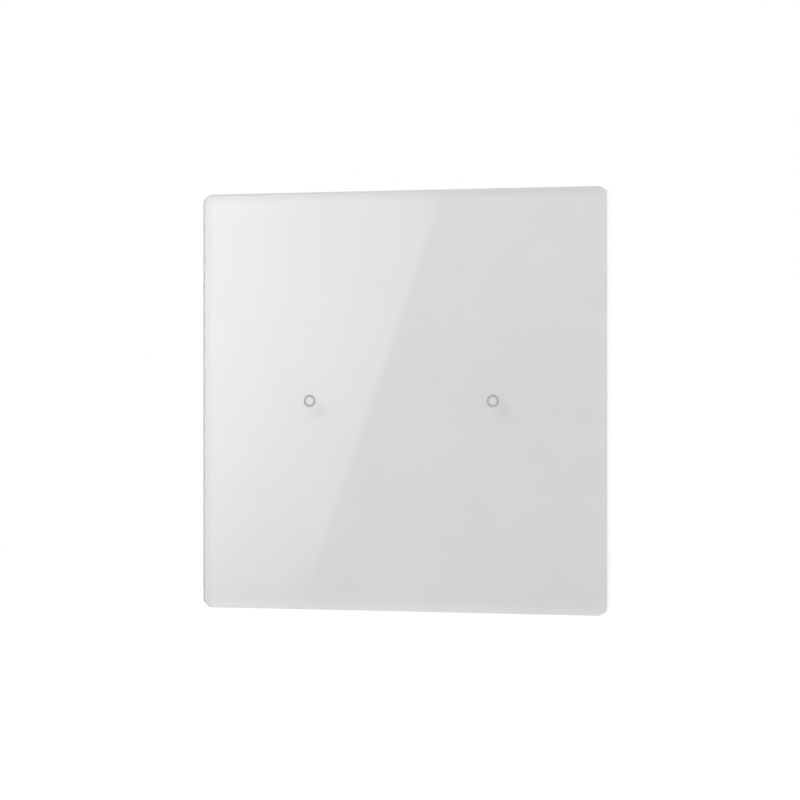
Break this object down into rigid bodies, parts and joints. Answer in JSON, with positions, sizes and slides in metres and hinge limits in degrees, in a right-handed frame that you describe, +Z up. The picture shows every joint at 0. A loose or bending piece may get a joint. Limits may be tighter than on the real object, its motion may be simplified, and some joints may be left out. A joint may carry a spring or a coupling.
{
  "type": "touch light switch",
  "caption": "Square glass touch switch for a wall box: a clip-on glass panel with ringed touch keys over a steel plate, a board and a rear housing with clamp terminals.",
  "frame": {"origin": "middle of the four wall slots, on the back face of the mounting plate, where it lies on the wall", "axes": "+X to the right as seen from the room, +Y into the wall, +Z up"},
  "size_m": [0.086, 0.0396, 0.086],
  "materials": {
    "clear_glass": "polished tempered glass",
    "white_print": "baked ceramic screen print",
    "grey_print": "baked ceramic screen print",
    "tape": "acrylic foam tape",
    "white_abs": "moulded, fine satin",
    "zinc_steel": "zinc-plated pressed sheet",
    "grey_pc": "moulded polycarbonate",
    "spring_steel": "stainless strip and wire",
    "board_white": "white solder mask",
    "board_green": "green solder mask",
    "clear_acrylic": "moulded clear acrylic",
    "lamp": "lamp package",
    "chip_black": "moulded epoxy",
    "small_parts": "ceramic and tinned ends",
    "zinc_screw": "zinc-plated",
    "nickel_screw": "nickel-plated steel",
    "header_black": "moulded nylon",
    "relay_black": "moulded cover",
    "ferrite": "sintered ferrite",
    "winding_tape": "polyester tape over the winding",
    "can_sleeve": "shrunk sleeve",
    "film_box": "moulded box",
    "varistor_blue": "dipped epoxy",
    "fuse_brown": "moulded cap",
    "block_grey": "moulded polyamide",
    "brass": "stamped and tinned brass",
    "plated_cage": "nickel-plated steel"
  },
  "bodies": {
    "base": {"mounting_plate": "zinc_steel", "front_tray": "white_abs", "panel_springs": "spring_steel", "touch_board": "board_white", "touch_spring_left": "spring_steel", "touch_spring_right": "spring_steel", "light_guide_left": "clear_acrylic", "light_guide_right": "clear_acrylic", "led_left": "lamp", "led_right": "lamp", "touch_controller": "chip_black", "smd_parts": "small_parts", "board_screws": "zinc_screw", "pin_header": "header_black", "header_socket": "header_black", "rear_housing": "grey_pc", "housing_screws": "zinc_screw", "power_board": "board_green", "relay_left": "relay_black", "relay_right": "relay_black", "transformer_core": "ferrite", "transformer_coil": "winding_tape", "bulk_capacitor": "can_sleeve", "suppression_capacitor": "film_box", "varistor": "varistor_blue", "fuse": "fuse_brown", "rectifier": "chip_black", "contact_bars": "brass", "terminal_block_1": "block_grey", "terminal_block_2": "block_grey", "terminal_block_3": "block_grey", "terminal_block_4": "block_grey"},
    "front_panel": {"glass_panel": "clear_glass", "printed_film": "white_print", "ring_marks": "grey_print", "bonding_tape": "tape", "panel_carrier": "white_abs"},
    "screw_1": {"terminal_screw_1": "nickel_screw"},
    "cage_1": {"clamp_cage_1": "plated_cage"},
    "screw_2": {"terminal_screw_2": "nickel_screw"},
    "cage_2": {"clamp_cage_2": "plated_cage"},
    "screw_3": {"terminal_screw_3": "nickel_screw"},
    "cage_3": {"clamp_cage_3": "plated_cage"},
    "screw_4": {"terminal_screw_4": "nickel_screw"},
    "cage_4": {"clamp_cage_4": "plated_cage"}
  },
  "joints": [
    {"name": "panel_pull", "type": "slide", "parent": "base", "child": "front_panel", "axis": [0, -1, 0], "range_m": [0, 0.025], "deforming": ["panel_springs"]},
    {"name": "screw_turn_1", "type": "hinge", "parent": "base", "child": "screw_1", "pos_m": [-0.0135, 0.0239, -0.0172], "axis": [0, -1, 0], "range_deg": [0, 1728.1]},
    {"name": "cage_lift_1", "type": "slide", "parent": "base", "child": "cage_1", "axis": [0, 1, 0], "range_m": [0, 0.0024]},
    {"name": "screw_turn_2", "type": "hinge", "parent": "base", "child": "screw_2", "pos_m": [-0.0045, 0.0239, -0.0172], "axis": [0, -1, 0], "range_deg": [0, 1728.1]},
    {"name": "cage_lift_2", "type": "slide", "parent": "base", "child": "cage_2", "axis": [0, 1, 0], "range_m": [0, 0.0024]},
    {"name": "screw_turn_3", "type": "hinge", "parent": "base", "child": "screw_3", "pos_m": [0.0045, 0.0239, -0.0172], "axis": [0, -1, 0], "range_deg": [0, 1728.1]},
    {"name": "cage_lift_3", "type": "slide", "parent": "base", "child": "cage_3", "axis": [0, 1, 0], "range_m": [0, 0.0024]},
    {"name": "screw_turn_4", "type": "hinge", "parent": "base", "child": "screw_4", "pos_m": [0.0135, 0.0239, -0.0172], "axis": [0, -1, 0], "range_deg": [0, 1728.1]},
    {"name": "cage_lift_4", "type": "slide", "parent": "base", "child": "cage_4", "axis": [0, 1, 0], "range_m": [0, 0.0024]}
  ],
  "couplings": [
    {"joint": "screw_turn_1", "follows": "cage_lift_1", "rad_per_m": 12566},
    {"joint": "screw_turn_2", "follows": "cage_lift_2", "rad_per_m": 12566},
    {"joint": "screw_turn_3", "follows": "cage_lift_3", "rad_per_m": 12566},
    {"joint": "screw_turn_4", "follows": "cage_lift_4", "rad_per_m": 12566}
  ]
}
